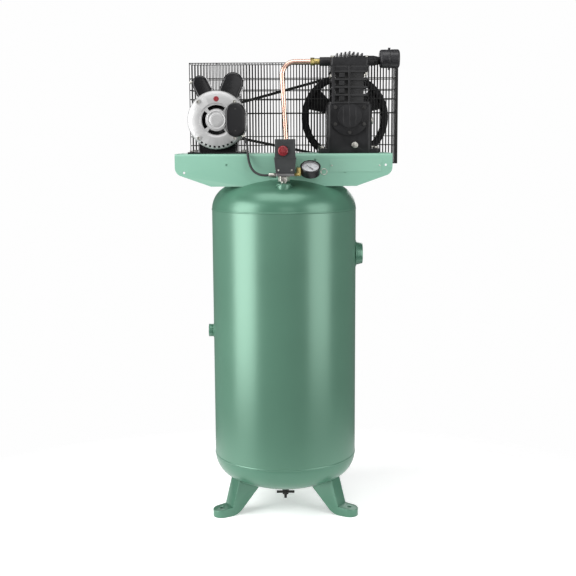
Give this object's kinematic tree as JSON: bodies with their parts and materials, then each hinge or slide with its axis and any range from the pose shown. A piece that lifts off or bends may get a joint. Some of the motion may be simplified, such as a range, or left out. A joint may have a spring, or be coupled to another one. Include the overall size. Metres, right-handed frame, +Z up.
{
  "type": "vertical tank compressor",
  "caption": "Upright air receiver on pressed legs with a platform that carries an electric motor and a belt-driven reciprocating pump behind a wire guard.",
  "frame": {"origin": "middle of the machine's plan outline, on the floor", "axes": "+X to the machine's right seen from the pressure switch, +Y to the back, +Z up"},
  "size_m": [0.785, 0.5486, 1.634],
  "materials": {
    "tank_paint": "satin green enamel",
    "platform_paint": "satin green enamel",
    "black_iron": "black painted casting",
    "flywheel_black": "black painted casting",
    "motor_black": "black enamel",
    "cover_black": "semi-gloss black",
    "cast_aluminium": "bright die casting",
    "zinc": "zinc plated",
    "steel": "machined",
    "light_alloy": "machined",
    "dark_steel": "oxidised",
    "copper": "drawn copper, lightly tarnished",
    "brass": "machined brass",
    "belt_rubber": "fabric-faced rubber",
    "guard_wire": "black coated wire",
    "filter_plastic": "moulded, fine texture",
    "filter_paper": "pleated paper",
    "switch_plastic": "moulded, fine texture",
    "switch_metal": "die casting",
    "knob_red": "moulded",
    "gauge_black": "moulded",
    "needle_black": "matte",
    "gauge_glass": "clear",
    "lead_jacket": "smooth jacket"
  },
  "bodies": {
    "frame": {"tank_shell": "tank_paint", "tank_top_head": "tank_paint", "tank_bottom_head": "tank_paint", "leg_front_left": "tank_paint", "leg_front_right": "tank_paint", "leg_rear": "tank_paint", "tank_couplings": "tank_paint", "platform": "platform_paint", "crankcase": "black_iron", "crankcase_cover": "black_iron", "cylinder_block": "black_iron", "cylinder_head": "black_iron", "intake_elbow": "black_iron", "motor_shell": "motor_black", "motor_base": "motor_black", "capacitor_cover_left": "cover_black", "capacitor_cover_right": "cover_black", "terminal_cover": "cover_black", "motor_front_bell": "cast_aluminium", "motor_rear_bell": "cast_aluminium", "motor_bolts": "zinc", "pump_bolts": "zinc", "oil_plugs": "zinc", "switch_nipple": "zinc", "lead_connectors": "zinc", "valve_plate": "zinc", "motor_stator": "steel", "bearings": "steel", "capacitors": "light_alloy", "inspection_plug": "dark_steel", "discharge_tube": "copper", "unloader_tube": "copper", "discharge_fitting": "brass", "check_valve": "brass", "brass_fittings": "brass", "drain_valve": "brass", "drive_belt": "belt_rubber", "guard_front": "guard_wire", "guard_rear": "guard_wire", "filter_housing": "filter_plastic", "filter_element": "filter_paper", "switch_cover": "switch_plastic", "switch_base": "switch_metal", "gauge_case": "gauge_black", "gauge_lens": "gauge_glass", "motor_lead": "lead_jacket"},
    "crank": {"crankshaft": "steel", "flywheel": "flywheel_black"},
    "rod_front": {"connecting_rod_front": "light_alloy"},
    "rod_rear": {"connecting_rod_rear": "light_alloy"},
    "piston_a": {"piston_front": "light_alloy"},
    "piston_b": {"piston_rear": "light_alloy"},
    "rotor": {"motor_rotor": "steel", "motor_pulley": "flywheel_black"},
    "knob": {"switch_knob": "knob_red"},
    "needle": {"gauge_needle": "needle_black"},
    "safety_stem": {"safety_ring": "zinc"},
    "drain": {"drain_handle": "dark_steel"},
    "reset": {"reset_button": "zinc"},
    "check": {"check_disc": "dark_steel"}
  },
  "joints": [
    {"name": "crank_spin", "type": "hinge", "parent": "frame", "child": "crank", "pos_m": [0.2015, -0.01875, 1.405], "axis": [0, 1, 0], "continuous": true},
    {"name": "rotor_spin", "type": "hinge", "parent": "frame", "child": "rotor", "pos_m": [-0.2495, -0.01875, 1.393], "axis": [0, 1, 0], "continuous": true},
    {"name": "front_crank_pin", "type": "hinge", "parent": "crank", "child": "rod_front", "pos_m": [0.2215, -0.06775, 1.405], "axis": [0, 1, 0], "continuous": true},
    {"name": "rear_crank_pin", "type": "hinge", "parent": "crank", "child": "rod_rear", "pos_m": [0.1815, 0.03025, 1.405], "axis": [0, 1, 0], "continuous": true},
    {"name": "front_piston_slide", "type": "slide", "parent": "frame", "child": "piston_a", "axis": [0, 0, 1], "range_m": [-0.02, 0.02]},
    {"name": "rear_piston_slide", "type": "slide", "parent": "frame", "child": "piston_b", "axis": [0, 0, 1], "range_m": [-0.02, 0.02]},
    {"name": "knob_pull", "type": "slide", "parent": "frame", "child": "knob", "axis": [0, -1, 0], "range_m": [0, 0.006]},
    {"name": "needle_turn", "type": "hinge", "parent": "frame", "child": "needle", "pos_m": [0.0655, -0.21875, 1.239], "axis": [0, -0.5736, 0.8191], "range_deg": [-175, 95], "stiffness_Nm_per_rad": 0.0001},
    {"name": "safety_pull", "type": "slide", "parent": "frame", "child": "safety_stem", "axis": [1, 0, 0], "range_m": [0, 0.004], "stiffness_N_per_m": 1500},
    {"name": "drain_turn", "type": "hinge", "parent": "frame", "child": "drain", "pos_m": [-0.0235, -0.01875, 0.037], "axis": [0, 0, 1], "range_deg": [0, 270]},
    {"name": "reset_press", "type": "slide", "parent": "frame", "child": "reset", "axis": [1, 0, 0], "range_m": [0, 0.004], "stiffness_N_per_m": 300},
    {"name": "check_lift", "type": "slide", "parent": "frame", "child": "check", "axis": [0, 0, 1], "range_m": [0, 0.006]}
  ],
  "couplings": [
    {"joint": "rotor_spin", "follows": "crank_spin", "ratio": 3.2128},
    {"joint": "front_crank_pin", "follows": "crank_spin", "ratio": -1},
    {"joint": "rear_crank_pin", "follows": "crank_spin", "ratio": -1}
  ]
}
